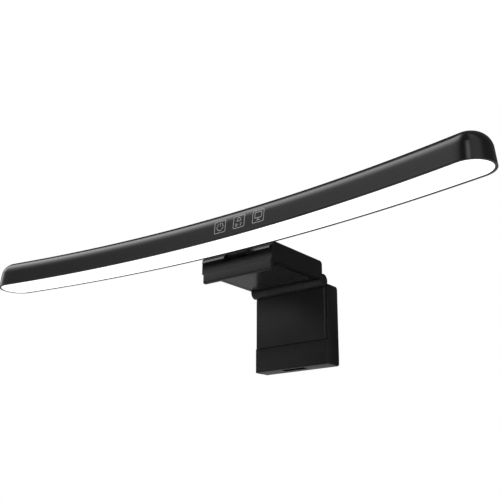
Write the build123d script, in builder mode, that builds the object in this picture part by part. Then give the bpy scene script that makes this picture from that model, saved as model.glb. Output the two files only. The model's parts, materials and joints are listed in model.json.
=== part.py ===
"""Monitor light bar: a curved, tilting lamp on a clamp that hangs over a monitor's top edge.

The origin is the centre of the rest pad's underside, where the clamp sits on the monitor.
+X runs along the bar, +Y points behind the monitor and +Z is up. All sizes are in millimetres.
"""

from build123d import *
from math import atan2, cos, degrees, radians, sin, tan
import os

os.makedirs("parts", exist_ok=True)

# ---------------------------------------------------------------- driving dimensions
slip = 0.05              # radial play of a shaft in its hole
gap = 0.3                # air between bodies that move past each other
soft_edge = 0.5          # rounding of the moulded edges

# clamp arm
arm_width = 69.0
arm_depth = 67.1
arm_height = 14.6
arm_wall = 2.0
arm_side = 2.6           # thickness of the side walls
brow_height = 10.8       # top of the front face, where it starts to lean back
brow_depth = 3.8         # how far back it leans before the deck is level
lip_bottom = 8.6         # a lip stands out along the brow, and leans back too
lip_height = 1.8
lip_reach = 1.4
lip_lean = 1.0
crease = 0.2             # smallest rounding, where two mouldings meet in one face
plate_thickness = 2.6
pad_width = 57.0
pad_depth = 54.0
pad_thickness = 1.3
pad_proud = 0.5
pad_inset = 6.0          # from the arm's front face to the pad

# front hook
hook_width = 66.2
hook_drop = 7.8
hook_thickness = 3.8
hook_tab_height = 7.5

# rear leg and its hinge
hinge_radius = 5.1
hinge_length = 69.8
hinge_behind = 1.45      # hinge axis behind the arm's rear face
hinge_below = 0.67       # hinge axis below the arm's underside
middle_knuckle = 36.8    # length of the leg's own knuckle
hinge_pin_radius = 2.5
hinge_pin_reach = 26.0
leg_width = 70.8
leg_top = -2.4           # all leg heights are measured from the arm's underside
leg_seam = -47.6
leg_bottom = -67.3
cover_width = 68.2
cover_front = 1.05       # leg faces are measured back from the hinge axis
grip_front = 2.0
shell_front = 3.25
leg_back = 19.0
leg_wall = 2.0

# lamp bar
bar_radius = 1100.0      # plan radius of the bar's mid-line, its centre on the user's side
bar_ahead = 24.1         # mid-line ahead of the arm's front face, at the middle
bar_rise = 8.1           # underside of the bar above the underside of the arm
bar_length = 452.2       # along the mid-line, tip to tip
bar_half_width = 15.2
bar_wall = 1.9
wall_height = 11.2       # the drafted part of the wall
wall_draft = 1.15        # how far the wall leans in over that height
arch_radius = 12.1
diffuser_thickness = 1.6

# tilt joint
tilt_back = 8.0          # tilt axis behind the arm's front face
tilt_up = 8.2            # and above the arm's underside
neck_half_width = 10.2
neck_thickness = 4.2
knuckle_radius = 3.2
tilt_pin_radius = 1.9
tilt_pin_bore = 1.15

# electrics
lead_radius = 0.8
lead_room = 0.35         # air round a lead in its channel
screw_radius = 1.0
touch_centre = 34.6      # middle touch key, along the bar from its middle
touch_pitch = 18.0
touch_key = 10.0

# ---------------------------------------------------------------- derived places
arm_base = pad_proud
arm_top = arm_base + arm_height
arm_front = -(pad_inset + pad_depth / 2)
arm_back = arm_front + arm_depth
hinge_y = arm_back + hinge_behind
hinge_z = arm_base - hinge_below
tilt_y = arm_front + tilt_back
tilt_z = arm_base + tilt_up
bar_y = arm_front - bar_ahead
bar_z = arm_base + bar_rise
cap_arc = bar_length / 2 - bar_half_width
draft = atan2(wall_draft, wall_height)
arch_x = bar_half_width - wall_draft - arch_radius * cos(draft)
arch_z = wall_height - arch_radius * sin(draft)
bar_height = arch_z + arch_radius


# ---------------------------------------------------------------- shared shapes
def block(x, y, z, mode=Mode.ADD):
    """A box between two limits on each axis."""
    middle = tuple((low + high) / 2 for low, high in (x, y, z))
    size = [high - low for low, high in (x, y, z)]
    with Locations(middle):
        Box(*size, mode=mode)


def rod(radius, x, y, z, mode=Mode.ADD):
    """A round bar along X between two limits."""
    with BuildSketch(Plane.YZ.offset(x[0])) as disc:
        with Locations((y, z)):
            Circle(radius)
    extrude(disc.sketch, amount=x[1] - x[0], mode=mode)


def post(radius, x, y, z, mode=Mode.ADD):
    """A round bar along Z between two limits."""
    with BuildSketch(Plane.XY.offset(z[0])) as disc:
        with Locations((x, y)):
            Circle(radius)
    extrude(disc.sketch, amount=z[1] - z[0], mode=mode)


def tube_along(path, radius, mode=Mode.ADD):
    """A round section swept along a path of straight runs and tangent arcs."""
    with BuildSketch(Plane(path @ 0, z_dir=path % 0)) as disc:
        Circle(radius)
    sweep(disc.sketch, path=path, mode=mode)


def route(points, bend):
    """Straight runs through the points, joined by tangent arcs."""
    with BuildLine() as line:
        FilletPolyline(*points, radius=bend)
    return line.wire()


def bar_plane(arc, rise=0.0):
    """Cross-section plane of the bar: local X points to the back and local Y up."""
    turn = arc / bar_radius
    centre = (bar_radius * sin(turn), bar_y - bar_radius + bar_radius * cos(turn), bar_z + rise)
    return Plane(centre, x_dir=(sin(turn), cos(turn), 0), z_dir=(cos(turn), -sin(turn), 0))


def carry(profile, arc_from, arc_to, mode=Mode.ADD):
    """Carry a section along the bar's mid-line from one arc length to another."""
    with BuildSketch(bar_plane(arc_to)) as section:
        profile()
    curve_axis = Axis((0, bar_y - bar_radius, 0), (0, 0, 1))
    turn = degrees((arc_to - arc_from) / bar_radius)
    revolve(section.sketch, axis=curve_axis, revolution_arc=turn, mode=mode)


def bar_solid(half_profile, half_arc=cap_arc, mode=Mode.ADD):
    """Carry a half section and its mirror image along the bar, and turn it round both ends."""

    def whole_profile():
        half_profile()
        mirror(about=Plane.YZ)

    carry(whole_profile, -half_arc, half_arc, mode)
    for side in (-1, 1):
        end = bar_plane(side * half_arc)
        with BuildSketch(end) as section:
            half_profile()
        revolve(section.sketch, axis=Axis(end.origin, (0, 0, -side)), revolution_arc=180, mode=mode)


def arched_half(inset, floor):
    """Half of the bar's arched section, drawn a given distance inside the outer skin."""
    radius = arch_radius - inset
    reach = bar_half_width - inset / cos(draft) - floor * tan(draft)
    shoulder = (arch_x + radius * cos(draft), arch_z + radius * sin(draft))
    crown = (arch_x, arch_z + radius)
    with BuildLine() as outline:
        Polyline(crown, (0, crown[1]), (0, floor), (reach, floor), shoulder)
        CenterArc((arch_x, arch_z), radius, degrees(draft), 90 - degrees(draft))
    make_face(outline.line)


def flat_half(half_width, bottom, top):
    """Half of a rectangular section."""
    with BuildLine() as outline:
        Polyline((0, bottom), (half_width, bottom), (half_width, top), (0, top), close=True)
    make_face(outline.line)


def keep(part, label):
    """Name a finished piece and write it out."""
    part.label = label
    export_step(part, f"parts/{label}.step")


# ---------------------------------------------------------------- lamp bar stack
diffuser_half = bar_half_width - bar_wall
tray_floor = diffuser_thickness + gap
tray_foot = 12.8         # half width of the reflector where it meets the diffuser
tray_neck = 8.4          # half width where it meets the heat strip
tray_skin = 1.0
tray_lip = 1.0
strip_bottom = 8.6
strip_thickness = 1.5
strip_half = 10.4
strip_arc = 200.0
board_thickness = 1.0
board_half = 6.8
strip_top = strip_bottom + strip_thickness
board_bottom = strip_bottom - board_thickness
led_size = 2.8
led_height = 0.7
led_pitch = 8.0
led_row = 4.3
led_count = 48
boss_radius = 2.6
strip_bosses = [side * arc for arc in (34, 112, 190) for side in (-1, 1)]
driver_centre = -73.0
driver_length = 68.0
driver_half = 6.5
driver_bottom = 12.0
driver_thickness = 1.2
driver_posts = [driver_centre - 26, driver_centre + 26]
screw_head_radius = 1.9
screw_head_height = 1.2
screw_bite = 5.0

# neck and its seat inside the bar's back wall
seat_half = 17.0
seat_face = 8.4
seat_bottom = strip_top + gap
seat_top = 18.0
slot_height = 14.7       # middle of the neck where it passes through the wall
flange_thickness = 1.6
flange_half = 16.0
neck_screw_x = 13.4
elbow_y = -7.5           # from the arm's front face
elbow = (arm_front + elbow_y, bar_z + slot_height)
seat_y = bar_y + seat_face
neck_middle = (0, tilt_y, tilt_z)
neck_split = 12.0        # the bar's lead meets the arm's lead here, on the tilt axis

bar_lead_y = bar_y - boss_radius - 2.4
bar_lead_path = route(
    [
        (driver_centre + driver_length / 2 + 2, bar_lead_y, bar_z + slot_height),
        (-5, bar_lead_y, bar_z + slot_height),
        (0, seat_y - 3, bar_z + slot_height),
        (0, elbow[0], elbow[1]),
        neck_middle,
        (neck_split, tilt_y, tilt_z),
    ],
    1.6,
)

with BuildPart() as bar_housing:
    bar_solid(lambda: arched_half(0, 0))
    bar_solid(lambda: arched_half(bar_wall, 0), mode=Mode.SUBTRACT)
    bar_solid(lambda: flat_half(diffuser_half, 0, tray_floor), mode=Mode.SUBTRACT)
    for arc in strip_bosses:
        centre = bar_plane(arc).origin
        ceiling = bar_z + bar_height - bar_wall / 2
        post(boss_radius, centre.X, centre.Y, (bar_z + strip_top, ceiling))
        post(screw_radius + slip, centre.X, centre.Y, (bar_z, ceiling - bar_wall), Mode.SUBTRACT)
    for arc in driver_posts:
        centre = bar_plane(arc).origin
        foot = bar_z + driver_bottom + driver_thickness
        post(boss_radius, centre.X, centre.Y, (foot, ceiling))
        post(screw_radius + slip, centre.X, centre.Y, (bar_z, ceiling - bar_wall), Mode.SUBTRACT)
    with BuildSketch(Plane.YZ.offset(-seat_half)):
        with BuildLine(Location((bar_y, bar_z))):
            Polyline(
                (seat_face, seat_bottom),
                (seat_face, seat_top),
                (arch_x + 8.4, seat_top),
                (arch_x + 11.2, seat_bottom),
                close=True,
            )
        make_face()
    extrude(amount=2 * seat_half)
    slot_half = neck_thickness / 2 + gap
    block(
        (-neck_half_width - gap, neck_half_width + gap),
        (seat_y - 1, bar_y + bar_half_width),
        (bar_z + slot_height - slot_half, bar_z + slot_height + slot_half),
        Mode.SUBTRACT,
    )
    for x in (-neck_screw_x, neck_screw_x):
        with BuildSketch(Plane.XZ.offset(-seat_y)):
            with Locations((x, bar_z + slot_height)):
                Circle(screw_radius + slip)
        extrude(amount=-2.6, mode=Mode.SUBTRACT)
keep(bar_housing.part, "bar_housing")

with BuildPart() as diffuser:
    bar_solid(lambda: flat_half(diffuser_half - slip, 0, diffuser_thickness))
keep(diffuser.part, "diffuser")


def tray_half():
    """Half section of the reflector: a thin wall that leans in towards the lamps."""
    foot, lip, top = tray_floor - 0.2, tray_floor + tray_lip, strip_bottom - 0.1
    with BuildLine() as outline:
        Polyline(
            (tray_foot, foot),
            (tray_foot, lip),
            (tray_neck, top),
            (tray_neck - tray_skin, top),
            (tray_foot - tray_skin, lip),
            (tray_foot - tray_skin, foot),
            close=True,
        )
    make_face(outline.line)


with BuildPart() as reflector_tray:
    bar_solid(tray_half)
keep(reflector_tray.part, "reflector_tray")

with BuildPart() as heat_strip:
    bar_solid(lambda: flat_half(strip_half, strip_bottom, strip_top), strip_arc)
    for arc in strip_bosses:
        centre = bar_plane(arc).origin
        post(screw_radius + gap, centre.X, centre.Y, (bar_z, bar_z + bar_height), Mode.SUBTRACT)
keep(heat_strip.part, "heat_strip")

with BuildPart() as led_board:
    bar_solid(lambda: flat_half(board_half, board_bottom, strip_bottom), strip_arc)
    for arc in strip_bosses:
        centre = bar_plane(arc).origin
        post(screw_radius + gap, centre.X, centre.Y, (bar_z, bar_z + bar_height), Mode.SUBTRACT)
keep(led_board.part, "led_board")

with BuildPart() as led_packages:
    for index in range(led_count):
        arc = (index - (led_count - 1) / 2) * led_pitch
        for row in (-led_row, led_row):
            with Locations(bar_plane(arc, board_bottom - led_height / 2)):
                with Locations((row, 0)):
                    Box(led_size, led_height, led_size)
keep(led_packages.part, "led_packages")

with BuildPart() as bar_screws:
    for arcs, seat in ((strip_bosses, board_bottom), (driver_posts, driver_bottom)):
        for arc in arcs:
            centre = bar_plane(arc).origin
            under = bar_z + seat
            post(screw_head_radius, centre.X, centre.Y, (under - screw_head_height, under))
            post(screw_radius, centre.X, centre.Y, (under, under + screw_bite))
keep(bar_screws.part, "bar_screws")

with BuildPart() as driver_board:
    middle = bar_plane(driver_centre, driver_bottom + driver_thickness / 2)
    with Locations(middle):
        Box(2 * driver_half, driver_thickness, driver_length)
    for arc in driver_posts:
        centre = bar_plane(arc).origin
        post(screw_radius + gap, centre.X, centre.Y, (bar_z, bar_z + bar_height), Mode.SUBTRACT)
keep(driver_board.part, "driver_board")

part_height = 2.6
with BuildPart() as driver_parts:
    surface = bar_plane(driver_centre, driver_bottom + driver_thickness + part_height / 2)
    with Locations(surface):
        with Locations((0, 0, -14), (1, 0, 4)):
            Box(7, part_height, 7)
        with Locations((-1, 0, 14)):
            Box(4, part_height, 5)
        with Locations((-3, 0, -4), (3, 0, -4)):
            Cylinder(1.6, part_height, rotation=(90, 0, 0))
keep(driver_parts.part, "driver_parts")

# ---------------------------------------------------------------- touch keys behind the front wall
film_bottom = 4.2
film_top = 9.9
film_thickness = 0.4
touch_thickness = 0.5
touch_span = touch_pitch + touch_key / 2 + 1


def wall_lining(outer, inner, bottom, top):
    """A strip that lies against the inside of the front wall."""

    def reach(inset, height):
        return -(bar_half_width - inset / cos(draft) - height * tan(draft))

    with BuildLine() as outline:
        Polyline(
            (reach(outer, bottom), bottom),
            (reach(outer, top), top),
            (reach(inner, top), top),
            (reach(inner, bottom), bottom),
            close=True,
        )
    make_face(outline.line)


film_outer = bar_wall + slip
film_inner = film_outer + film_thickness
with BuildPart() as touch_film:
    carry(
        lambda: wall_lining(film_outer, film_inner, film_bottom, film_top),
        touch_centre - touch_span,
        touch_centre + touch_span,
    )
keep(touch_film.part, "touch_film")

with BuildPart() as touch_pads:
    for step in (-1, 0, 1):
        key = touch_centre + step * touch_pitch
        carry(
            lambda: wall_lining(film_inner, film_inner + touch_thickness, film_bottom + 0.4, film_top - 0.4),
            key - touch_key / 2,
            key + touch_key / 2,
        )
keep(touch_pads.part, "touch_pads")

# ---------------------------------------------------------------- neck and tilt joint
neck_rise = elbow[1] - tilt_z
neck_run = tilt_y - elbow[0]
neck_slope = degrees(atan2(neck_rise, neck_run))
neck_length = (neck_rise**2 + neck_run**2) ** 0.5

with BuildPart() as neck:
    with BuildSketch(Plane.YZ.offset(-neck_half_width)):
        with Locations((tilt_y, tilt_z)):
            Circle(knuckle_radius)
        with Locations(Location((tilt_y, tilt_z), 180 - neck_slope)):
            Rectangle(neck_length, neck_thickness, align=(Align.MIN, Align.CENTER))
        with Locations(elbow):
            Circle(neck_thickness / 2)
            Rectangle(elbow[0] - seat_y, neck_thickness, align=(Align.MAX, Align.CENTER))
    extrude(amount=2 * neck_half_width)
    block(
        (-flange_half, flange_half),
        (seat_y - flange_thickness, seat_y),
        (bar_z + seat_bottom + gap, bar_z + seat_top - gap),
    )
    for side in (-1, 1):
        outer = side * (neck_half_width + 1)
        inner = side * 4.5
        rod(tilt_pin_radius + slip, sorted((outer, inner)), tilt_y, tilt_z, Mode.SUBTRACT)
    tube_along(bar_lead_path, lead_radius + lead_room, Mode.SUBTRACT)
    for x in (-neck_screw_x, neck_screw_x):
        with BuildSketch(Plane.XZ.offset(-seat_y)):
            with Locations((x, bar_z + slot_height)):
                Circle(screw_radius + gap / 2)
        extrude(amount=flange_thickness, mode=Mode.SUBTRACT)
keep(neck.part, "neck")

with BuildPart() as neck_screws:
    for x in (-neck_screw_x, neck_screw_x):
        with BuildSketch(Plane.XZ.offset(-(seat_y - flange_thickness))):
            with Locations((x, bar_z + slot_height)):
                Circle(screw_head_radius)
        extrude(amount=screw_head_height)
        with BuildSketch(Plane.XZ.offset(-(seat_y - flange_thickness))):
            with Locations((x, bar_z + slot_height)):
                Circle(screw_radius)
        extrude(amount=-(flange_thickness + 2.4))
keep(neck_screws.part, "neck_screws")

with BuildPart() as bar_lead:
    tube_along(bar_lead_path, lead_radius)
keep(bar_lead.part, "bar_lead")

pocket_half = 11.0
pocket_wall = 1.3
ear_thickness = 1.6
ear_radius = 2.9
ear_inner = pocket_half + pocket_wall + slip
ear_outer = ear_inner + ear_thickness
nut_thickness = 1.6
nut_radius = 3.0
pin_inner = 5.0

for side, bore, label in ((-1, 0, "tilt_pin_left"), (1, tilt_pin_bore, "tilt_pin_right")):
    with BuildPart() as tilt_pin:
        ends = sorted((side * pin_inner, side * (ear_outer + slip + nut_thickness + 0.4)))
        rod(tilt_pin_radius, ends, tilt_y, tilt_z)
        if bore:
            rod(bore, ends, tilt_y, tilt_z, Mode.SUBTRACT)
    keep(tilt_pin.part, label)

with BuildPart() as tilt_nuts:
    for side in (-1, 1):
        with BuildSketch(Plane.YZ.offset(side * (ear_outer + slip))):
            with Locations((tilt_y, tilt_z)):
                RegularPolygon(nut_radius, 6)
                Circle(tilt_pin_radius + slip / 2, mode=Mode.SUBTRACT)
        extrude(amount=side * nut_thickness)
keep(tilt_nuts.part, "tilt_nuts")

with BuildPart() as tilt_washers:
    for side in (-1, 1):
        with BuildSketch(Plane.YZ.offset(side * (neck_half_width + slip))):
            with Locations((tilt_y, tilt_z)):
                Circle(knuckle_radius)
                Circle(tilt_pin_radius + slip, mode=Mode.SUBTRACT)
        extrude(amount=side * (pocket_half - neck_half_width - 2 * slip))
keep(tilt_washers.part, "tilt_washers")

# ---------------------------------------------------------------- clamp arm
outer_knuckle = middle_knuckle / 2 + gap
boss_x = 24.0
boss_ys = (arm_front + 13, arm_front + 54)
arm_boss_radius = 3.0
arm_screw_radius = 1.2
arm_screw_head = 2.2
arm_screw_sink = 1.2
cavity_half = arm_width / 2 - arm_side
lip_half = arm_width / 2 - 1.5
cavity_back = arm_back - 5.6
hinge_room = 6.9         # solid left round the hinge, up from the arm's underside
cap_radius = 4.2
cap_depth = 2.0
sleeve_radius = 3.4
sleeve_length = 8.0
brow_slope = (arm_height - brow_height) / brow_depth
roof = arm_height - arm_wall
brow_inside = brow_height - arm_wall * (1 + brow_slope**2) ** 0.5
hinge_split = 24.0       # the leg's lead meets the arm's lead here, on the hinge axis
lead_x = 28.6
lead_z = arm_base + 6.5

arm_lead_path = route(
    [
        (hinge_split, hinge_y, hinge_z),
        (lead_x, hinge_y, hinge_z),
        (lead_x, arm_back - 8, lead_z),
        (lead_x, arm_front + 18, lead_z),
        (lead_x - 4, tilt_y, tilt_z),
        (neck_split, tilt_y, tilt_z),
    ],
    1.8,
)
leg_lead_y = hinge_y + 6.0
leg_lead_path = route(
    [
        (0, leg_lead_y, arm_base - 46.0),
        (0, leg_lead_y, arm_base - 7.5),
        (0, hinge_y, hinge_z),
        (hinge_split, hinge_y, hinge_z),
    ],
    1.8,
)

with BuildPart() as arm_top_shell:
    block((-arm_width / 2, arm_width / 2), (arm_front, arm_back), (arm_base, arm_top))
    # brow that leans back above the front face
    with BuildSketch(Plane.YZ.offset(-arm_width / 2 - 1)):
        with BuildLine(Location((arm_front, arm_base))):
            Polyline(
                (-1, brow_height - brow_slope),
                (brow_depth, arm_height),
                (brow_depth, 2 * arm_height),
                (-1, 2 * arm_height),
                close=True,
            )
        make_face()
    extrude(amount=arm_width + 2, mode=Mode.SUBTRACT)
    fillet(arm_top_shell.edges().filter_by(Axis.X).group_by(Axis.Z)[-1].sort_by(Axis.Y)[-1], 3.0)
    fillet(arm_top_shell.edges().filter_by(Axis.Z).group_by(Axis.Y)[0], 1.5)
    fillet(arm_top_shell.faces().sort_by(Axis.Z)[-1].edges().filter_by(Axis.Y), soft_edge)
    fillet(arm_top_shell.faces().sort_by(Axis.Z)[0].edges(), crease)
    # lip along the brow
    with BuildSketch(Plane.YZ.offset(-lip_half)):
        with BuildLine(Location((arm_front, arm_base))):
            Polyline(
                (arm_wall / 2, lip_bottom),
                (-lip_reach, lip_bottom),
                (-lip_reach + lip_lean, lip_bottom + lip_height),
                (0, brow_height),
                (arm_wall / 2, brow_height),
                close=True,
            )
        make_face()
    extrude(amount=2 * lip_half)
    for side in (-1, 1):
        ends = sorted((side * outer_knuckle, side * hinge_length / 2))
        rod(hinge_radius, ends, hinge_y, hinge_z)
    knuckle_rims = arm_top_shell.edges().filter_by(GeomType.CIRCLE).group_by(SortBy.RADIUS)[-1]
    fillet(knuckle_rims.filter_by(lambda rim: abs(rim.arc_center.X) > arm_width / 2), gap)
    # hollow, and the smaller hollow above the hinge
    with BuildSketch(Plane.YZ.offset(-cavity_half)):
        with BuildLine(Location((arm_front, arm_base))):
            Polyline(
                (arm_wall, -1),
                (arm_wall, brow_inside + brow_slope * arm_wall),
                ((roof - brow_inside) / brow_slope, roof),
                (cavity_back - arm_front, roof),
                (cavity_back - arm_front, -1),
                close=True,
            )
        make_face()
    extrude(amount=2 * cavity_half, mode=Mode.SUBTRACT)
    block(
        (-cavity_half, cavity_half),
        (cavity_back - 1, arm_back - arm_wall),
        (arm_base + hinge_room, arm_top - arm_wall),
        Mode.SUBTRACT,
    )
    # pocket for the neck's knuckle
    block(
        (-pocket_half - pocket_wall, pocket_half + pocket_wall),
        (arm_front, tilt_y + 6),
        (arm_base + 3.2, arm_base + brow_height - 1),
    )
    with BuildSketch(Plane.YZ.offset(-pocket_half - pocket_wall)):
        with BuildLine(Location((arm_front, arm_base))):
            Polyline(
                (0.5, 8),
                (0.5, brow_height + brow_slope * 0.5),
                (brow_depth, arm_height),
                (tilt_back + 6, arm_height),
                (tilt_back + 6, 8),
                close=True,
            )
        make_face()
    extrude(amount=2 * (pocket_half + pocket_wall))
    block(
        (-pocket_half, pocket_half),
        (arm_front - 2 * lip_reach, tilt_y + 4.7),
        (arm_base + 6.5, arm_top + 1),
        Mode.SUBTRACT,
    )
    block(
        (-pocket_half, pocket_half),
        (arm_front + 3, tilt_y + 4.7),
        (arm_base + 4.5, arm_base + 7),
        Mode.SUBTRACT,
    )
    pocket_outside = pocket_half + pocket_wall + 1
    rod(tilt_pin_radius + slip, (-pocket_outside, pocket_outside), tilt_y, tilt_z, Mode.SUBTRACT)
    # screw bosses
    for x in (-boss_x, boss_x):
        for y in boss_ys:
            post(arm_boss_radius, x, y, (arm_base + plate_thickness, arm_top - arm_wall / 2))
            post(arm_screw_radius + slip, x, y, (arm_base, arm_top - 2 * arm_wall), Mode.SUBTRACT)
    # hinge room, pin bores, sleeve seats and cap seats
    rod(hinge_radius + gap + 0.1, (-outer_knuckle, outer_knuckle), hinge_y, hinge_z, Mode.SUBTRACT)
    rod(hinge_pin_radius + slip / 2, (-hinge_length / 2, hinge_length / 2), hinge_y, hinge_z, Mode.SUBTRACT)
    for side in (-1, 1):
        seat = sorted((side * outer_knuckle, side * (outer_knuckle + sleeve_length)))
        rod(sleeve_radius + slip / 2, seat, hinge_y, hinge_z, Mode.SUBTRACT)
        cap_seat = sorted((side * (hinge_length / 2 - cap_depth), side * (hinge_length / 2 + 1)))
        rod(cap_radius + slip / 2, cap_seat, hinge_y, hinge_z, Mode.SUBTRACT)
    tube_along(arm_lead_path, lead_radius + lead_room, Mode.SUBTRACT)
keep(arm_top_shell.part, "arm_top_shell")

with BuildPart() as arm_bottom_plate:
    block(
        (-cavity_half + slip, cavity_half - slip),
        (arm_front + hook_thickness + gap, cavity_back - slip),
        (arm_base, arm_base + plate_thickness - slip),
    )
    block(
        (-pad_width / 2 - slip, pad_width / 2 + slip),
        (-pad_depth / 2 - slip, pad_depth / 2 + slip),
        (0, pad_thickness),
        Mode.SUBTRACT,
    )
    for x in (-boss_x, boss_x):
        for y in boss_ys:
            post(arm_screw_radius + gap / 2, x, y, (0, arm_top), Mode.SUBTRACT)
            post(arm_screw_head + slip, x, y, (0, pad_thickness + slip + 0.6), Mode.SUBTRACT)
    rod(hinge_radius + gap + 0.1, (-arm_width / 2, arm_width / 2), hinge_y, hinge_z, Mode.SUBTRACT)
keep(arm_bottom_plate.part, "arm_bottom_plate")

with BuildPart() as rest_pad:
    block((-pad_width / 2, pad_width / 2), (-pad_depth / 2, pad_depth / 2), (0, pad_thickness - slip))
    fillet(rest_pad.edges().filter_by(Axis.Z), 1.0)
keep(rest_pad.part, "rest_pad")

with BuildPart() as arm_screws:
    for x in (-boss_x, boss_x):
        for y in boss_ys:
            post(arm_screw_head, x, y, (pad_thickness, pad_thickness + 0.6))
            post(arm_screw_radius, x, y, (pad_thickness + 0.6, arm_base + 9))
keep(arm_screws.part, "arm_screws")

chassis_bottom = arm_base + plate_thickness
chassis_thickness = 1.4
chassis_half = 29.0
with BuildPart() as arm_chassis:
    block(
        (-chassis_half, chassis_half),
        (arm_front + hook_thickness + slip, cavity_back - 1),
        (chassis_bottom, chassis_bottom + chassis_thickness),
    )
    pocket_clear = pocket_half + pocket_wall + slip
    block(
        (-pocket_clear, pocket_clear),
        (arm_front, tilt_y + 6 + slip),
        (chassis_bottom - 1, chassis_bottom + 3),
        Mode.SUBTRACT,
    )
    for x in (-boss_x, boss_x):
        for y in boss_ys:
            post(arm_boss_radius + slip, x, y, (arm_base, arm_top), Mode.SUBTRACT)
    for side in (-1, 1):
        with BuildSketch(Plane.YZ.offset(side * ear_inner)):
            with Locations((tilt_y, tilt_z)):
                Circle(ear_radius)
                Rectangle(2 * ear_radius, tilt_z - chassis_bottom, align=(Align.CENTER, Align.MAX))
        extrude(amount=side * ear_thickness)
    rod(tilt_pin_radius + slip / 2, (-ear_outer, ear_outer), tilt_y, tilt_z, Mode.SUBTRACT)
keep(arm_chassis.part, "arm_chassis")

tab_inner = pocket_half + pocket_wall + 0.5
tab_outer = 27.0
with BuildPart() as front_hook:
    lip_back = arm_front + hook_thickness
    block((-hook_width / 2, hook_width / 2), (arm_front, lip_back), (arm_base - hook_drop, arm_base))
    fillet(front_hook.edges().filter_by(Axis.Z).group_by(Axis.Y)[0], 1.5)
    fillet(front_hook.edges().filter_by(Axis.Y).group_by(Axis.Z)[0], 1.2)
    fillet(front_hook.faces().sort_by(Axis.Z)[0].edges().filter_by(Axis.X), 0.9)
    for side in (-1, 1):
        across = sorted((side * tab_inner, side * tab_outer))
        block(across, (arm_front + arm_wall + slip, lip_back), (arm_base - 1, arm_base + hook_tab_height))
keep(front_hook.part, "front_hook")

with BuildPart() as hook_pad:
    block(
        (-hook_width / 2 + 4, hook_width / 2 - 4),
        (arm_front + hook_thickness, arm_front + hook_thickness + 1),
        (arm_base - hook_drop + 1, arm_base - 1),
    )
    fillet(hook_pad.edges().filter_by(Axis.Y), 1.5)
keep(hook_pad.part, "hook_pad")

with BuildPart() as arm_lead:
    tube_along(arm_lead_path, lead_radius)
keep(arm_lead.part, "arm_lead")

# ---------------------------------------------------------------- leg hinge
pin_start = middle_knuckle / 2 - 6.4
for side, bore, label in ((-1, 0, "hinge_pin_left"), (1, lead_radius + lead_room, "hinge_pin_right")):
    with BuildPart() as hinge_pin:
        ends = sorted((side * pin_start, side * hinge_pin_reach))
        rod(hinge_pin_radius, ends, hinge_y, hinge_z)
        if bore:
            rod(bore, ends, hinge_y, hinge_z, Mode.SUBTRACT)
    keep(hinge_pin.part, label)

with BuildPart() as hinge_sleeves:
    for side in (-1, 1):
        with BuildSketch(Plane.YZ.offset(side * (outer_knuckle + slip))):
            with Locations((hinge_y, hinge_z)):
                Circle(sleeve_radius)
                Circle(hinge_pin_radius + slip / 2, mode=Mode.SUBTRACT)
        extrude(amount=side * (sleeve_length - 2 * slip))
keep(hinge_sleeves.part, "hinge_sleeves")

with BuildPart() as hinge_caps:
    for side in (-1, 1):
        ends = sorted((side * (hinge_length / 2 - cap_depth + slip), side * hinge_length / 2))
        rod(cap_radius, ends, hinge_y, hinge_z)
    fillet(hinge_caps.edges().filter_by(lambda rim: abs(rim.center().X) > hinge_length / 2 - slip), gap)
keep(hinge_caps.part, "hinge_caps")

# ---------------------------------------------------------------- rear leg
leg_face = hinge_y + shell_front
leg_rear = hinge_y + leg_back
cover_face = hinge_y + cover_front
grip_face = hinge_y + grip_front
cover_top = leg_top - 3.0
seam_z = arm_base + leg_seam
foot_z = arm_base + leg_bottom
crown_z = arm_base + leg_top
leg_half = leg_width / 2
leg_inner = leg_half - leg_wall
rim = 1.6                # how far cover and grip reach into the shell
port_width = 22.4
port_depth = 6.8
port_height = 4.5
port_front = 0.8         # wall in front of the inlet well
port_y = leg_face + port_front + port_depth / 2
foot_skin = 1.0          # soft feet under the leg, on each side of the inlet well
foot_depth = port_front + port_depth
foot_gap = 1.0           # wall of the shell between the well and each foot
socket_width = 9.0
socket_thickness = 3.3
socket_length = 7.3
socket_skin = 0.35
leg_screw_x = 27.0
leg_screw_z = seam_z - 3.4
knuckle_half = middle_knuckle / 2

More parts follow.
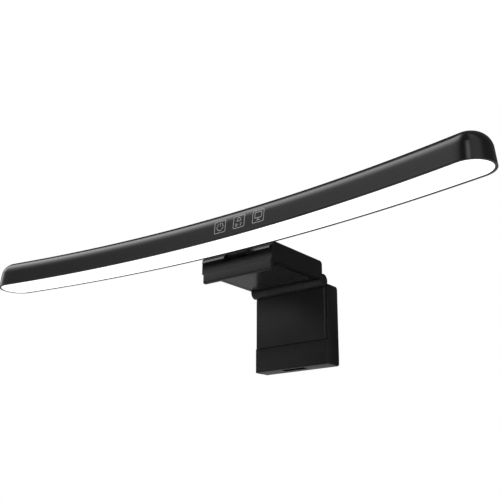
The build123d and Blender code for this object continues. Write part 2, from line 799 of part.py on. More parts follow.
with BuildPart() as leg_rear_shell:
    block((-leg_half, leg_half), (leg_face, leg_rear), (foot_z, crown_z))
    fillet(leg_rear_shell.edges().filter_by(Axis.X).group_by(Axis.Y)[-1], 2.5)
    fillet(leg_rear_shell.edges().filter_by(Axis.Z).group_by(Axis.Y)[-1], 1.0)
    fillet(leg_rear_shell.edges().filter_by(Axis.Z).group_by(Axis.Y)[0], soft_edge)
    block(
        (-leg_inner, leg_inner),
        (leg_face - 1, leg_rear - leg_wall),
        (foot_z + leg_wall, crown_z - 3 * leg_wall),
        Mode.SUBTRACT,
    )
    block(
        (-knuckle_half, knuckle_half),
        (cover_face, leg_face + 1),
        (arm_base + cover_top + slip, crown_z),
    )
    rod(hinge_radius, (-knuckle_half, knuckle_half), hinge_y, hinge_z)
    for side in (-1, 1):
        ends = sorted((side * knuckle_half, side * (leg_half + 1)))
        rod(hinge_radius + gap + 0.05, ends, hinge_y, hinge_z, Mode.SUBTRACT)
        pin_seat = sorted((side * (pin_start - 0.5), side * (knuckle_half + 1)))
        rod(hinge_pin_radius + slip, pin_seat, hinge_y, hinge_z, Mode.SUBTRACT)
    # inlet well with the socket's window in its roof
    block(
        (-port_width / 2 - leg_wall, port_width / 2 + leg_wall),
        (leg_face, leg_face + foot_depth + leg_wall),
        (foot_z, foot_z + port_height + leg_wall),
    )
    for side in (-1, 1):
        block(
            sorted((side * (port_width / 2 + foot_gap - slip), side * (leg_half + 1))),
            (leg_face - 1, leg_face + foot_depth + slip),
            (foot_z - 1, foot_z + foot_skin + slip),
            Mode.SUBTRACT,
        )
    block(
        (-port_width / 2, port_width / 2),
        (leg_face + port_front, leg_face + foot_depth),
        (foot_z - 1, foot_z + port_height),
        Mode.SUBTRACT,
    )
    with BuildSketch(Plane.XY.offset(foot_z + port_height - 1)):
        with Locations((0, port_y)):
            RectangleRounded(socket_width + 2 * slip, socket_thickness + 2 * slip, socket_thickness / 2)
    extrude(amount=leg_wall + 2, mode=Mode.SUBTRACT)
    for x in (-leg_screw_x, leg_screw_x):
        with BuildSketch(Plane.XZ.offset(-(leg_face + rim + 1.7))):
            with Locations((x, leg_screw_z)):
                Circle(arm_boss_radius)
        extrude(amount=-(leg_rear - leg_wall - leg_face - rim - 1.2))
        with BuildSketch(Plane.XZ.offset(-(leg_face + rim))):
            with Locations((x, leg_screw_z)):
                Circle(arm_screw_radius + slip)
        extrude(amount=-9.5, mode=Mode.SUBTRACT)
    tube_along(leg_lead_path, lead_radius + lead_room, Mode.SUBTRACT)
keep(leg_rear_shell.part, "leg_rear_shell")

with BuildPart() as leg_front_cover:
    block(
        (-cover_width / 2, cover_width / 2),
        (cover_face, leg_face - slip),
        (seam_z + slip, arm_base + cover_top),
    )
    fillet(leg_front_cover.edges().filter_by(Axis.Z).group_by(Axis.Y)[0], 0.8)
    fillet(leg_front_cover.faces().sort_by(Axis.Y)[0].edges(), crease)
    block(
        (-leg_inner + slip, leg_inner - slip),
        (leg_face - 1, leg_face + rim),
        (seam_z - 6.6, arm_base + cover_top - 4.0),
    )
    block(
        (-leg_inner - 1, leg_inner + 1),
        (cover_face, leg_face),
        (seam_z - 8, seam_z),
        Mode.SUBTRACT,
    )
    block(
        (-leg_inner + 2.2, leg_inner - 2.2),
        (leg_face, leg_face + rim + 1),
        (seam_z + 2, arm_base + cover_top - 6),
        Mode.SUBTRACT,
    )
    rod(hinge_radius + gap + 0.05, (-leg_half, leg_half), hinge_y, hinge_z, Mode.SUBTRACT)
    for x in (-leg_screw_x, leg_screw_x):
        with BuildSketch(Plane.XZ.offset(-leg_face)):
            with Locations((x, leg_screw_z)):
                Circle(arm_screw_radius + gap / 2)
        extrude(amount=-rim, mode=Mode.SUBTRACT)
keep(leg_front_cover.part, "leg_front_cover")

with BuildPart() as leg_grip_pad:
    block((-leg_half, leg_half), (grip_face, leg_face - slip), (foot_z, seam_z - slip))
    fillet(leg_grip_pad.edges().filter_by(Axis.Z).group_by(Axis.Y)[0], 0.8)
    fillet(leg_grip_pad.faces().sort_by(Axis.Y)[0].edges(), crease)
    block(
        (-leg_inner + slip, leg_inner - slip),
        (leg_face - 1, leg_face + rim - 0.3),
        (foot_z + port_height + leg_wall + slip, seam_z - 6.8),
    )
    for x in (-leg_screw_x, leg_screw_x):
        with BuildSketch(Plane.XZ.offset(-(leg_face - 1.2))):
            with Locations((x, leg_screw_z)):
                Circle(arm_screw_head + gap)
        extrude(amount=-1.2, mode=Mode.SUBTRACT)
keep(leg_grip_pad.part, "leg_grip_pad")

with BuildPart() as leg_feet:
    for side in (-1, 1):
        block(
            sorted((side * (port_width / 2 + foot_gap), side * leg_half)),
            (leg_face, leg_face + foot_depth),
            (foot_z, foot_z + foot_skin),
        )
keep(leg_feet.part, "leg_feet")

with BuildPart() as leg_screws:
    for x in (-leg_screw_x, leg_screw_x):
        with BuildSketch(Plane.XZ.offset(-(leg_face - 0.9))):
            with Locations((x, leg_screw_z)):
                Circle(arm_screw_head)
        extrude(amount=-0.9)
        with BuildSketch(Plane.XZ.offset(-leg_face)):
            with Locations((x, leg_screw_z)):
                Circle(arm_screw_radius)
        extrude(amount=-9.0)
keep(leg_screws.part, "leg_screws")

weight_front = leg_face + rim + 2.6
with BuildPart() as counterweight:
    block(
        (-leg_inner + 1.5, leg_inner - 1.5),
        (weight_front, leg_rear - leg_wall - slip),
        (seam_z + 2, crown_z - 3 * leg_wall - 1),
    )
    fillet(counterweight.edges().filter_by(Axis.Y), 2)
keep(counterweight.part, "counterweight")

board_y = port_y + socket_thickness / 2 + slip
socket_foot = foot_z + port_height + 0.3
with BuildPart() as power_board:
    block(
        (-14, 14),
        (board_y, board_y + driver_thickness),
        (foot_z + port_height + leg_wall + slip, seam_z + 0.8),
    )
keep(power_board.part, "power_board")

with BuildPart() as usb_c_socket:
    with BuildSketch(Plane.XY.offset(socket_foot)):
        with Locations((0, port_y)):
            RectangleRounded(socket_width, socket_thickness, socket_thickness / 2 - 0.01)
    extrude(amount=socket_length)
    with BuildSketch(Plane.XY.offset(socket_foot)):
        with Locations((0, port_y)):
            mouth = socket_thickness - 2 * socket_skin
            RectangleRounded(socket_width - 2 * socket_skin, mouth, mouth / 2 - 0.01)
    extrude(amount=socket_length - 1, mode=Mode.SUBTRACT)
    block((-3.3, 3.3), (port_y - 0.35, port_y + 0.35), (socket_foot + 0.8, socket_foot + socket_length))
keep(usb_c_socket.part, "usb_c_socket")

with BuildPart() as leg_lead:
    tube_along(leg_lead_path, lead_radius)
keep(leg_lead.part, "leg_lead")
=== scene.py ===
"""Monitor light bar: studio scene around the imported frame. Lengths are in metres."""

import bmesh
import bpy
import json
from math import atan2, cos, pi, radians, sin, sqrt, tan
from mathutils import Matrix, Vector


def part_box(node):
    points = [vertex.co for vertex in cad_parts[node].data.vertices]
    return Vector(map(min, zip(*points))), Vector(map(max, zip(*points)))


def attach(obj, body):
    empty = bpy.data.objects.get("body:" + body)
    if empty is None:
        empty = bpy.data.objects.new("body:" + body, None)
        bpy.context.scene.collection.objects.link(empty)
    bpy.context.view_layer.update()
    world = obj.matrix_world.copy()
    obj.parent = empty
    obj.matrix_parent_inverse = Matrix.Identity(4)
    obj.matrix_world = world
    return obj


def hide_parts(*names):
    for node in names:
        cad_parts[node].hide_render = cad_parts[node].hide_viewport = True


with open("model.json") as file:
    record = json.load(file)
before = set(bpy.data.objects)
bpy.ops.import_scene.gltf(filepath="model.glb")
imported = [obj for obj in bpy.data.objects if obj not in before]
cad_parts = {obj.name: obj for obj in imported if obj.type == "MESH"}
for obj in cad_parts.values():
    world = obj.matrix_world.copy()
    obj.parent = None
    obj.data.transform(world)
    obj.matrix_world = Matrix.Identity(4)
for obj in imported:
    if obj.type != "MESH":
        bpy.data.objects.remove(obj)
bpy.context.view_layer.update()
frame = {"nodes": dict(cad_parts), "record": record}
nodes = frame["nodes"]

MM = 0.001

# ---------------------------------------------------------------- sizes
bar_low, bar_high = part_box("bar_housing")
hook_low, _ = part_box("front_hook")
bar_radius = 1100.0 * MM
bar_half_width = 15.2 * MM
bar_half_length = 226.1 * MM
bar_y = bar_high.y - bar_half_width
bar_z = bar_low.z
bar_wall = 1.9 * MM
wall_height = 11.2 * MM
wall_draft = 1.15 * MM
arch_radius = 12.1 * MM
draft = atan2(wall_draft, wall_height)
arch_x = bar_half_width - wall_draft - arch_radius * cos(draft)
arch_z = wall_height - arch_radius * sin(draft)
cap_arc = bar_half_length - bar_half_width


# ---------------------------------------------------------------- mesh helpers
def new_piece(name, mesh, body, replaced=()):
    """Links a finished mesh as a named piece that rides on a body."""
    piece = bpy.data.objects.new(name, mesh)
    bpy.context.scene.collection.objects.link(piece)
    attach(piece, body)
    if replaced:
        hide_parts(*replaced)
    return piece


def smooth_by_angle(mesh, limit=radians(32)):
    """Smooth shading, with edges sharper than the limit kept crisp."""
    mesh.polygons.foreach_set("use_smooth", [True] * len(mesh.polygons))
    mesh.set_sharp_from_angle(angle=limit)


def bar_point(arc, reach, height):
    """A point of the bar: arc length along its mid-line, reach towards the back, height above its base."""
    turn = arc / bar_radius
    radius = bar_radius + reach
    return Vector((radius * sin(turn), bar_y - bar_radius + radius * cos(turn), bar_z + height))


def cap_point(side, swing, reach, height):
    """A point of the bar's rounded end: swing 0 is the back wall and pi is the front wall."""
    turn = side * cap_arc / bar_radius
    centre = bar_point(side * cap_arc, 0, height)
    outward = Vector((sin(turn), cos(turn), 0))
    along = Vector((cos(turn), -sin(turn), 0)) * side
    return centre + reach * (cos(swing) * outward + sin(swing) * along)


def sweep_round_bar(profile, arc_steps=150, cap_steps=28):
    """Carries a half section round the bar's whole outline as one closed band of quads.
    The profile is a list of (reach, height) pairs, and a reach of 0 lands on the mid-line."""
    mesh = bmesh.new()
    rings = []
    back = [(cap_arc * (2 * i / arc_steps - 1), 1) for i in range(arc_steps)]
    right = [(pi * i / cap_steps, 2) for i in range(cap_steps)]
    front = [(-cap_arc * (2 * i / arc_steps - 1), 3) for i in range(arc_steps)]
    left = [(pi * i / cap_steps, 4) for i in range(cap_steps)]
    for value, leg in back + right + front + left:
        ring = []
        for reach, height in profile:
            if leg == 1:
                place = bar_point(value, reach, height)
            elif leg == 2:
                place = cap_point(1, value, reach, height)
            elif leg == 3:
                place = bar_point(value, -reach, height)
            else:
                place = cap_point(-1, pi - value, reach, height)
            ring.append(mesh.verts.new(place))
        rings.append(ring)
    for index, ring in enumerate(rings):
        ahead = rings[(index + 1) % len(rings)]
        for a in range(len(profile) - 1):
            mesh.faces.new((ring[a], ring[a + 1], ahead[a + 1], ahead[a]))
    bmesh.ops.remove_doubles(mesh, verts=mesh.verts, dist=1e-7)
    bmesh.ops.dissolve_degenerate(mesh, dist=1e-8, edges=mesh.edges)
    bmesh.ops.recalc_face_normals(mesh, faces=mesh.faces)
    data = bpy.data.meshes.new("swept")
    mesh.to_mesh(data)
    mesh.free()
    return data


def quarter(centre, radius, start, end, steps):
    """Points along an arc, angles in radians."""
    return [
        (
            centre[0] + radius * cos(start + (end - start) * i / steps),
            centre[1] + radius * sin(start + (end - start) * i / steps),
        )
        for i in range(steps + 1)
    ]


def wall_reach(height, inset=0.0):
    """Half width of the bar's arched section at a height, measured inside the outer skin."""
    radius = arch_radius - inset
    if height <= arch_z + radius * sin(draft):
        return bar_half_width - inset / cos(draft) - height * tan(draft)
    return arch_x + sqrt(max(radius**2 - (height - arch_z) ** 2, 0.0))


# ---------------------------------------------------------------- materials
def material(name, build):
    made = bpy.data.materials.new(name)
    made.use_nodes = True
    tree = made.node_tree
    shader = tree.nodes["Principled BSDF"]
    build(tree, shader)
    return made


def add(tree, kind, **settings):
    node = tree.nodes.new(kind)
    for key, value in settings.items():
        if key in node.inputs:
            node.inputs[key].default_value = value
        else:
            setattr(node, key, value)
    return node


def object_noise(tree, scale, detail=3.0, roughness=0.55):
    coords = add(tree, "ShaderNodeTexCoord")
    noise = add(tree, "ShaderNodeTexNoise", Scale=scale, Detail=detail, Roughness=roughness)
    tree.links.new(coords.outputs["Object"], noise.inputs["Vector"])
    return noise


def ramp(tree, source, low, high, positions=(0.3, 0.7)):
    blend = add(tree, "ShaderNodeValToRGB")
    stops = blend.color_ramp.elements
    stops[0].position, stops[1].position = positions
    stops[0].color = (*low, 1) if len(low) == 3 else low
    stops[1].color = (*high, 1) if len(high) == 3 else high
    tree.links.new(source, blend.inputs["Fac"])
    return blend


def edge_wear(tree, amount):
    """Slightly brighter where the surface turns a sharp corner."""
    geometry = add(tree, "ShaderNodeNewGeometry")
    span = add(tree, "ShaderNodeMapRange")
    span.inputs["From Min"].default_value = 0.52
    span.inputs["From Max"].default_value = 0.62
    span.inputs["To Max"].default_value = amount
    tree.links.new(geometry.outputs["Pointiness"], span.inputs["Value"])
    return span


def moulded(dark, light, rough_low, rough_high, grain, bump, specular=0.5):
    """A moulded plastic or rubber with fine spark grain, soft colour drift and worn edges."""

    def build(tree, shader):
        drift = object_noise(tree, 35.0, 2.0)
        tone = ramp(tree, drift.outputs["Fac"], dark, light)
        wear = edge_wear(tree, 0.12)
        worn = add(tree, "ShaderNodeMix", data_type="RGBA")
        worn.inputs["B"].default_value = (0.16, 0.16, 0.17, 1)
        tree.links.new(wear.outputs["Result"], worn.inputs["Factor"])
        tree.links.new(tone.outputs["Color"], worn.inputs["A"])
        tree.links.new(worn.outputs["Result"], shader.inputs["Base Color"])
        patches = object_noise(tree, 90.0, 4.0)
        gloss = add(tree, "ShaderNodeMapRange")
        gloss.inputs["To Min"].default_value = rough_low
        gloss.inputs["To Max"].default_value = rough_high
        tree.links.new(patches.outputs["Fac"], gloss.inputs["Value"])
        tree.links.new(gloss.outputs["Result"], shader.inputs["Roughness"])
        fine = object_noise(tree, grain, 2.0)
        relief = add(tree, "ShaderNodeBump", Strength=bump, Distance=0.00004)
        tree.links.new(fine.outputs["Fac"], relief.inputs["Height"])
        tree.links.new(relief.outputs["Normal"], shader.inputs["Normal"])
        shader.inputs["Specular IOR Level"].default_value = specular

    return build


def metal(colour, rough, scratch_scale, stretch):
    """A metal with fine directional scratches."""

    def build(tree, shader):
        coords = add(tree, "ShaderNodeTexCoord")
        mapping = add(tree, "ShaderNodeMapping")
        mapping.inputs["Scale"].default_value = stretch
        noise = add(tree, "ShaderNodeTexNoise", Scale=scratch_scale, Detail=4.0)
        tree.links.new(coords.outputs["Object"], mapping.inputs["Vector"])
        tree.links.new(mapping.outputs["Vector"], noise.inputs["Vector"])
        darker = tuple(0.8 * c for c in colour)
        tone = ramp(tree, noise.outputs["Fac"], darker, colour)
        tree.links.new(tone.outputs["Color"], shader.inputs["Base Color"])
        gloss = add(tree, "ShaderNodeMapRange")
        gloss.inputs["To Min"].default_value = rough * 0.8
        gloss.inputs["To Max"].default_value = rough * 1.3
        tree.links.new(noise.outputs["Fac"], gloss.inputs["Value"])
        tree.links.new(gloss.outputs["Result"], shader.inputs["Roughness"])
        relief = add(tree, "ShaderNodeBump", Strength=0.25, Distance=0.00005)
        tree.links.new(noise.outputs["Fac"], relief.inputs["Height"])
        tree.links.new(relief.outputs["Normal"], shader.inputs["Normal"])
        shader.inputs["Metallic"].default_value = 1.0

    return build


def lit_diffuser(tree, shader):
    """Milky sheet lit from behind: an even glow that dims a little in a fine prism pattern."""
    shader.inputs["Base Color"].default_value = (0.9, 0.9, 0.88, 1)
    shader.inputs["Roughness"].default_value = 0.4
    cells = add(tree, "ShaderNodeTexVoronoi", Scale=900.0)
    coords = add(tree, "ShaderNodeTexCoord")
    tree.links.new(coords.outputs["Object"], cells.inputs["Vector"])
    tone = ramp(tree, cells.outputs["Distance"], (0.96, 0.965, 0.97), (1, 1, 1), (0.0, 0.6))
    tree.links.new(tone.outputs["Color"], shader.inputs["Emission Color"])
    shader.inputs["Emission Strength"].default_value = 1.0
    relief = add(tree, "ShaderNodeBump", Strength=0.2, Distance=0.00003)
    tree.links.new(cells.outputs["Distance"], relief.inputs["Height"])
    tree.links.new(relief.outputs["Normal"], shader.inputs["Normal"])


def printed_ink(tree, shader):
    """Thin light grey ink with a slightly patchy edge to its tone."""
    noise = object_noise(tree, 2500.0, 2.0)
    tone = ramp(tree, noise.outputs["Fac"], (0.50, 0.50, 0.50), (0.64, 0.64, 0.64))
    tree.links.new(tone.outputs["Color"], shader.inputs["Base Color"])
    shader.inputs["Roughness"].default_value = 0.5


def circuit(tree, shader):
    """Solder mask with faint copper traces under it."""
    coords = add(tree, "ShaderNodeTexCoord")
    bricks = add(tree, "ShaderNodeTexBrick", Scale=260.0)
    bricks.inputs["Color1"].default_value = (0.01, 0.09, 0.04, 1)
    bricks.inputs["Color2"].default_value = (0.012, 0.11, 0.05, 1)
    bricks.inputs["Mortar"].default_value = (0.04, 0.2, 0.1, 1)
    tree.links.new(coords.outputs["Object"], bricks.inputs["Vector"])
    tree.links.new(bricks.outputs["Color"], shader.inputs["Base Color"])
    relief = add(tree, "ShaderNodeBump", Strength=0.2, Distance=0.00003)
    tree.links.new(bricks.outputs["Fac"], relief.inputs["Height"])
    tree.links.new(relief.outputs["Normal"], shader.inputs["Normal"])
    shader.inputs["Roughness"].default_value = 0.35


# One black plastic in lit and shaded copies. The lighter tone on the second line is painted light for the
# faces that face the light. The darkest tone on the first line is the bar's own colour, and it also serves
# as painted shade on the arm's underside and the leg's shell.
DEEP_BLACK = ((0.0035, 0.0035, 0.0038), (0.005, 0.005, 0.0054))
LIT_FACE_BLACK = ((0.0045, 0.0045, 0.0048), (0.0065, 0.0065, 0.007))
SOFT_BLACK = ((0.0055, 0.0055, 0.006), (0.0075, 0.0075, 0.008))
PAD_BLACK = ((0.0045, 0.0045, 0.0048), (0.006, 0.006, 0.0065))
# name, darkest and lightest tone, roughness range, grain scale, bump and specular level
# arm_black and cover_black are the lit copy, with a lighter tone and more gloss as painted light on the
# arm's top shell, front hook and the leg's front cover. shell_black and leg_black are the shaded copy,
# with the darkest tone and less gloss as painted shade on the arm's underside and the leg's rear shell.
BLACK_FINISHES = (
    ("satin_black", DEEP_BLACK, (0.19, 0.25), 5200.0, 0.05, 0.45),
    ("arm_black", LIT_FACE_BLACK, (0.26, 0.34), 5200.0, 0.06, 0.3),
    ("shell_black", DEEP_BLACK, (0.26, 0.34), 5200.0, 0.06, 0.12),
    ("cover_black", LIT_FACE_BLACK, (0.26, 0.34), 5200.0, 0.06, 0.4),
    ("leg_black", DEEP_BLACK, (0.26, 0.34), 5200.0, 0.06, 0.2),
    ("soft_black", SOFT_BLACK, (0.36, 0.46), 4200.0, 0.10, 0.27),
    ("pad_black", PAD_BLACK, (0.18, 0.24), 3000.0, 0.0, 0.15),
)
MATERIALS = {
    name: material(name, moulded(*tones, *rough, grain, bump, specular=level))
    for name, tones, rough, grain, bump, level in BLACK_FINISHES
}
OTHER_MATERIALS = {
    "diffuser_white": material("diffuser_white", lit_diffuser),
    "reflector_white": material(
        "reflector_white", moulded((0.80, 0.80, 0.80), (0.86, 0.86, 0.86), 0.2, 0.3, 2500.0, 0.05)
    ),
    "aluminium": material("aluminium", metal((0.78, 0.79, 0.80), 0.32, 300.0, (1, 18, 18))),
    "steel": material("steel", metal((0.56, 0.56, 0.57), 0.28, 500.0, (1, 14, 14))),
    "weight_iron": material("weight_iron", metal((0.20, 0.20, 0.21), 0.5, 700.0, (1, 1, 1))),
    "board": material("board", circuit),
    "chip": material("chip", moulded((0.02, 0.02, 0.021), (0.03, 0.03, 0.031), 0.45, 0.6, 3500.0, 0.2)),
    "led": material("led", moulded((0.85, 0.70, 0.18), (0.95, 0.80, 0.25), 0.2, 0.3, 3500.0, 0.05)),
    "film": material("film", moulded((0.42, 0.20, 0.05), (0.5, 0.26, 0.07), 0.2, 0.3, 2500.0, 0.05)),
    "copper": material("copper", metal((0.80, 0.42, 0.25), 0.3, 500.0, (1, 10, 10))),
    "acetal": material("acetal", moulded((0.62, 0.62, 0.58), (0.7, 0.7, 0.66), 0.3, 0.42, 3000.0, 0.1)),
    "lead": material("lead", moulded((0.015, 0.015, 0.015), (0.022, 0.022, 0.022), 0.5, 0.6, 3500.0, 0.2)),
    "ink": material("ink", printed_ink),
}
MATERIALS.update(OTHER_MATERIALS)


def paint(obj, name):
    obj.data.materials.clear()
    obj.data.materials.append(MATERIALS[name])


finish_of = {row["node"]: row["material_slot"] for row in frame["record"]["subparts"]}
# Lit and shaded copies of the black plastic: each of these parts gets painted light or painted shade
# through its finish.
finish_of.update(
    arm_top_shell="arm_black",
    arm_bottom_plate="shell_black",
    front_hook="arm_black",
    leg_rear_shell="leg_black",
    leg_front_cover="cover_black",
    rest_pad="pad_black",
)
for node, obj in nodes.items():
    paint(obj, finish_of[node])

# ---------------------------------------------------------------- bar skin and diffuser
rim_round = 0.25 * MM
ledge = 1.9 * MM
skin_turn_in = 6.0 * MM
wall_levels = [height * MM for height in (0.8, 2.5, 4.5, 6.5, 8.5)]
skin_profile = (
    [(wall_reach(skin_turn_in, bar_wall), skin_turn_in), (wall_reach(ledge, bar_wall), ledge)]
    + [(bar_half_width - bar_wall, ledge), (bar_half_width - bar_wall, rim_round)]
    + quarter((bar_half_width - bar_wall + rim_round, rim_round), rim_round, pi, 1.5 * pi, 3)[1:]
    + quarter((bar_half_width - rim_round, rim_round), rim_round, -pi / 2, 0, 3)
    + [(wall_reach(height), height) for height in wall_levels]
    + quarter((arch_x, arch_z), arch_radius, draft, pi / 2, 26)
    + [(arch_x * 0.5, arch_z + arch_radius), (0.0, arch_z + arch_radius)]
)
bar_skin = new_piece("bar_skin", sweep_round_bar(skin_profile), "light_bar", ["bar_housing"])
smooth_by_angle(bar_skin.data)
paint(bar_skin, "satin_black")

sheet_edge = bar_half_width - bar_wall - 0.05 * MM
sheet_round = 0.3 * MM
sheet_top = 1.6 * MM
sheet_rim = 0.15 * MM
sheet_middle = 0.12 * MM
sheet_profile = (
    [(0.0, sheet_top), (sheet_edge, sheet_top), (sheet_edge, sheet_rim + sheet_round)]
    + quarter((sheet_edge - sheet_round, sheet_rim + sheet_round), sheet_round, 0, -pi / 2, 4)[1:]
    + [(sheet_edge * 0.5, sheet_middle), (0.0, sheet_middle)]
)
diffuser_sheet = new_piece(
    "diffuser_sheet", sweep_round_bar(sheet_profile), "light_bar", ["diffuser"]
)
smooth_by_angle(diffuser_sheet.data)
paint(diffuser_sheet, "diffuser_white")

# ---------------------------------------------------------------- touch key prints
touch_centre = 35.3 * MM
touch_pitch = 18.0 * MM
key_half_width = 5.1 * MM
key_bottom = 4.5 * MM
key_top = 13.7 * MM
ink_lift = 0.05 * MM
ink_width = 0.42 * MM


def wall_place(arc, height, lift):
    """A point on the bar's front wall, lifted off its surface."""
    step = 0.05 * MM
    slope = (wall_reach(height + step) - wall_reach(height - step)) / (2 * step)
    scale = 1 / sqrt(1 + slope**2)
    return bar_point(arc, -(wall_reach(height) + lift * scale), height - lift * slope * scale)


def print_strokes(name, strokes, width=ink_width):
    """Lays closed or open strokes on the front wall as thin raised ribbons.
    Each stroke is (points, closed), its points in (arc, height) on the wall."""
    mesh = bmesh.new()
    for points, closed in strokes:
        count = len(points)
        rows = []
        for i, (arc, height) in enumerate(points):
            before = points[i - 1] if closed or i else points[0]
            after = points[(i + 1) % count] if closed or i < count - 1 else points[-1]
            run = Vector((after[0] - before[0], after[1] - before[1]))
            run.normalize()
            side = Vector((-run.y, run.x)) * width / 2
            left = (arc + side.x, height + side.y)
            right = (arc - side.x, height - side.y)
            rows.append(
                [
                    mesh.verts.new(wall_place(*left, 0.0)),
                    mesh.verts.new(wall_place(*left, ink_lift)),
                    mesh.verts.new(wall_place(*right, ink_lift)),
                    mesh.verts.new(wall_place(*right, 0.0)),
                ]
            )
        last = count if closed else count - 1
        for i in range(last):
            here, ahead = rows[i], rows[(i + 1) % count]
            for a in range(4):
                b = (a + 1) % 4
                mesh.faces.new((here[a], here[b], ahead[b], ahead[a]))
        if not closed:
            mesh.faces.new(rows[0])
            mesh.faces.new(rows[-1][::-1])
    bmesh.ops.recalc_face_normals(mesh, faces=mesh.faces)
    data = bpy.data.meshes.new(name)
    mesh.to_mesh(data)
    mesh.free()
    piece = new_piece(name, data, "light_bar")
    paint(piece, "ink")
    return piece


def straight(*corners, steps=6):
    """Points along straight runs, close enough together to follow the curved wall."""
    points = []
    for start, end in zip(corners, corners[1:]):
        for i in range(steps):
            share = i / steps
            points.append((start[0] + (end[0] - start[0]) * share, start[1] + (end[1] - start[1]) * share))
    points.append(corners[-1])
    return points


def frame_outline(centre):
    """The rounded square that frames a key."""
    corner = 0.9 * MM
    points = []
    low, high = key_bottom + corner, key_top - corner
    left, right = centre - key_half_width + corner, centre + key_half_width - corner
    for x, z, start in ((right, high, 0), (left, high, pi / 2), (left, low, pi), (right, low, 1.5 * pi)):
        points += quarter((x, z), corner, start, start + pi / 2, 5)
    dense = []
    for i, point in enumerate(points):
        following = points[(i + 1) % len(points)]
        dense += straight(point, following, steps=3)[:-1]
    return dense, True


def ring(centre, radius, start=0.0, end=2 * pi, steps=28):
    closed = end - start > 2 * pi - 1e-6
    points = quarter(centre, radius, start, end, steps)
    return (points[:-1] if closed else points), closed


key_middle = (key_bottom + key_top) / 2
power_at = touch_centre - touch_pitch
tone_at = touch_centre
level_at = touch_centre + touch_pitch
glyphs = {
    "key_power": [
        frame_outline(power_at),
        ring((power_at, key_middle), 2.9 * MM, radians(120), radians(420)),
        (straight((power_at, key_middle + 0.4 * MM), (power_at, key_middle + 3.3 * MM)), False),
    ],
    "key_tone": [
        frame_outline(tone_at),
        (
            straight(
                (tone_at - 2.0 * MM, key_middle + 0.6 * MM),
                (tone_at - 0.9 * MM, key_middle + 3.0 * MM),
                (tone_at + 0.9 * MM, key_middle + 3.0 * MM),
                (tone_at + 2.0 * MM, key_middle + 0.6 * MM),
                (tone_at - 2.0 * MM, key_middle + 0.6 * MM),
            ),
            False,
        ),
        ring((tone_at - 2.2 * MM, key_middle - 2.2 * MM), 0.9 * MM, steps=16),
        ring((tone_at + 2.2 * MM, key_middle - 2.2 * MM), 0.9 * MM, radians(40), radians(280), steps=14),
    ],
    "key_level": [
        frame_outline(level_at),
        (
            straight(
                (level_at - 3.1 * MM, key_middle - 1.2 * MM),
                (level_at - 3.1 * MM, key_middle + 3.0 * MM),
                (level_at + 3.1 * MM, key_middle + 3.0 * MM),
                (level_at + 3.1 * MM, key_middle - 1.2 * MM),
                (level_at - 3.1 * MM, key_middle - 1.2 * MM),
            ),
            False,
        ),
        (straight((level_at, key_middle - 1.3 * MM), (level_at, key_middle - 2.7 * MM)), False),
        (
            straight(
                (level_at - 1.7 * MM, key_middle - 2.9 * MM),
                (level_at + 1.7 * MM, key_middle - 2.9 * MM),
            ),
            False,
        ),
    ],
}
for name, strokes in glyphs.items():
    print_strokes(name, strokes)

# ---------------------------------------------------------------- stage, light and camera
def area_light(name, place, target, size, power):
    data = bpy.data.lights.new(name, "AREA")
    data.shape = "RECTANGLE"
    data.size, data.size_y = size
    data.energy = power
    lamp = bpy.data.objects.new(name, data)
    lamp.location = place
    lamp.rotation_euler = (Vector(target) - Vector(place)).to_track_quat("-Z", "Y").to_euler()
    lamp.visible_camera = False
    bpy.context.scene.collection.objects.link(lamp)


floor_z = -0.55
floor_mesh = bmesh.new()
bmesh.ops.create_grid(floor_mesh, x_segments=24, y_segments=24, size=6.0)
floor_data = bpy.data.meshes.new("floor")
floor_mesh.to_mesh(floor_data)
floor_mesh.free()
floor = bpy.data.objects.new("floor", floor_data)
floor.location = (0, 0, floor_z)
bpy.context.scene.collection.objects.link(floor)


def floor_finish(tree, shader):
    noise = object_noise(tree, 3.0, 4.0)
    tone = ramp(tree, noise.outputs["Fac"], (0.88, 0.88, 0.88), (0.92, 0.92, 0.92))
    tree.links.new(tone.outputs["Color"], shader.inputs["Base Color"])
    shader.inputs["Roughness"].default_value = 0.8


floor.data.materials.append(material("floor_finish", floor_finish))

# Round the X axis: 0 degrees is straight ahead of the bar, 90 is above it and 180 is behind it.
STUDIO_GLOW = (
    (-180, 0.10),
    (-40, 0.25),
    (10, 0.23),
    (30, 0.32),
    (50, 1.0),
    (72, 2.6),
    (90, 3.3),
    (100, 0.06),
    (180, 0.03),
)
# Round the Z axis, on the right hand side: 0 degrees is to the right and -90 is straight ahead.
SIDE_GLOW = (
    (-180, 0.12),
    (-90, 0.12),
    (-68, 0.14),
    (-52, 0.80),
    (-20, 0.80),
    (0, 0.20),
    (40, 0.13),
    (180, 0.13),
)


def glow_round(tree, rise, run, levels):
    """A background whose strength follows the angle of the direction (run, rise)."""
    around = add(tree, "ShaderNodeMath", operation="ARCTAN2")
    tree.links.new(rise, around.inputs[0])
    tree.links.new(run, around.inputs[1])
    share = add(tree, "ShaderNodeMapRange")
    share.inputs["From Min"].default_value = -pi
    share.inputs["From Max"].default_value = pi
    tree.links.new(around.outputs["Value"], share.inputs["Value"])
    blend = add(tree, "ShaderNodeValToRGB")
    stops = blend.color_ramp.elements
    while len(stops) < len(levels):
        stops.new(0.5)
    brightest = max(level for _, level in levels)
    for stop, (angle, level) in zip(stops, levels):
        stop.position = (angle + 180) / 360
        tone = level / brightest
        stop.color = (tone, tone, tone, 1)
    tree.links.new(share.outputs["Result"], blend.inputs["Fac"])
    glow = add(tree, "ShaderNodeBackground")
    glow.inputs["Strength"].default_value = brightest
    tree.links.new(blend.outputs["Color"], glow.inputs["Color"])
    return glow.outputs["Background"]


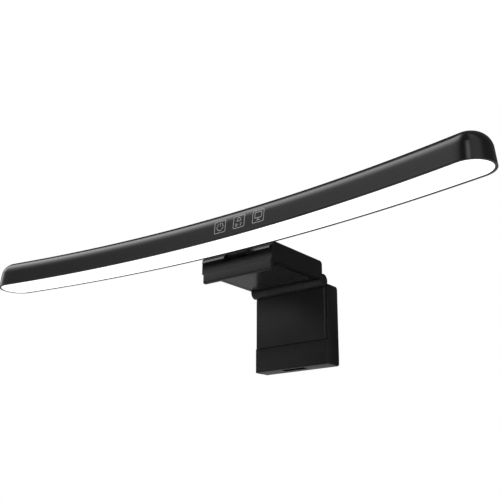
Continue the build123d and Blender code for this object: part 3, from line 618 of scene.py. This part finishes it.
def studio_world():
    """A white backdrop for the camera. Light and reflections see a long soft box overhead on the
    left hand side, and the side glow on the right hand side."""
    world = bpy.data.worlds.new("studio")
    bpy.context.scene.world = world
    world.use_nodes = True
    tree = world.node_tree
    backdrop = tree.nodes["Background"]
    backdrop.inputs["Color"].default_value = (1, 1, 1, 1)
    coords = add(tree, "ShaderNodeTexCoord")
    split = add(tree, "ShaderNodeSeparateXYZ")
    tree.links.new(coords.outputs["Generated"], split.inputs["Vector"])
    ahead = add(tree, "ShaderNodeMath", operation="MULTIPLY")
    ahead.inputs[1].default_value = -1.0
    tree.links.new(split.outputs["Y"], ahead.inputs[0])
    overhead = glow_round(tree, split.outputs["Z"], ahead.outputs["Value"], STUDIO_GLOW)
    beside = glow_round(tree, split.outputs["Y"], split.outputs["X"], SIDE_GLOW)
    rightward = add(tree, "ShaderNodeMapRange", interpolation_type="SMOOTHSTEP")
    rightward.inputs["From Min"].default_value = -0.42
    rightward.inputs["From Max"].default_value = -0.20
    tree.links.new(split.outputs["X"], rightward.inputs["Value"])
    sides = add(tree, "ShaderNodeMixShader")
    tree.links.new(rightward.outputs["Result"], sides.inputs[0])
    tree.links.new(overhead, sides.inputs[1])
    tree.links.new(beside, sides.inputs[2])
    seen = add(tree, "ShaderNodeLightPath")
    choice = add(tree, "ShaderNodeMixShader")
    tree.links.new(seen.outputs["Is Camera Ray"], choice.inputs[0])
    tree.links.new(sides.outputs["Shader"], choice.inputs[1])
    tree.links.new(backdrop.outputs["Background"], choice.inputs[2])
    tree.links.new(choice.outputs["Shader"], tree.nodes["World Output"].inputs["Surface"])


studio_world()
area_light("end_light", (0.62, -1.39, 0.59), (0.21, -0.07, 0.01), (0.36, 0.9), 2.6)

bpy.context.scene.view_settings.view_transform = "Standard"
bpy.context.scene.view_settings.look = "None"

camera_data = bpy.data.cameras.new("camera")
camera = bpy.data.objects.new("camera", camera_data)
bpy.context.scene.collection.objects.link(camera)
bpy.context.scene.camera = camera
yaw, pitch, roll = radians(38.45), radians(18.35), radians(0.36)
camera_data.sensor_width = 36.0
camera_data.lens = 59.0544
camera_data.clip_start = 0.01
camera_data.clip_end = 50
clamp_front = Vector((0, hook_low.y, 0.5 * MM))
camera.location = clamp_front + Vector((377.99, -458.33, -183.55)) * MM
forward = Vector((-sin(yaw) * cos(pitch), cos(yaw) * cos(pitch), sin(pitch)))
right = Vector((cos(yaw), sin(yaw), 0))
up = right.cross(forward)
rolled_right = cos(roll) * right + sin(roll) * up
rolled_up = cos(roll) * up - sin(roll) * right
camera.rotation_euler = Matrix((rolled_right, rolled_up, -forward)).transposed().to_euler()
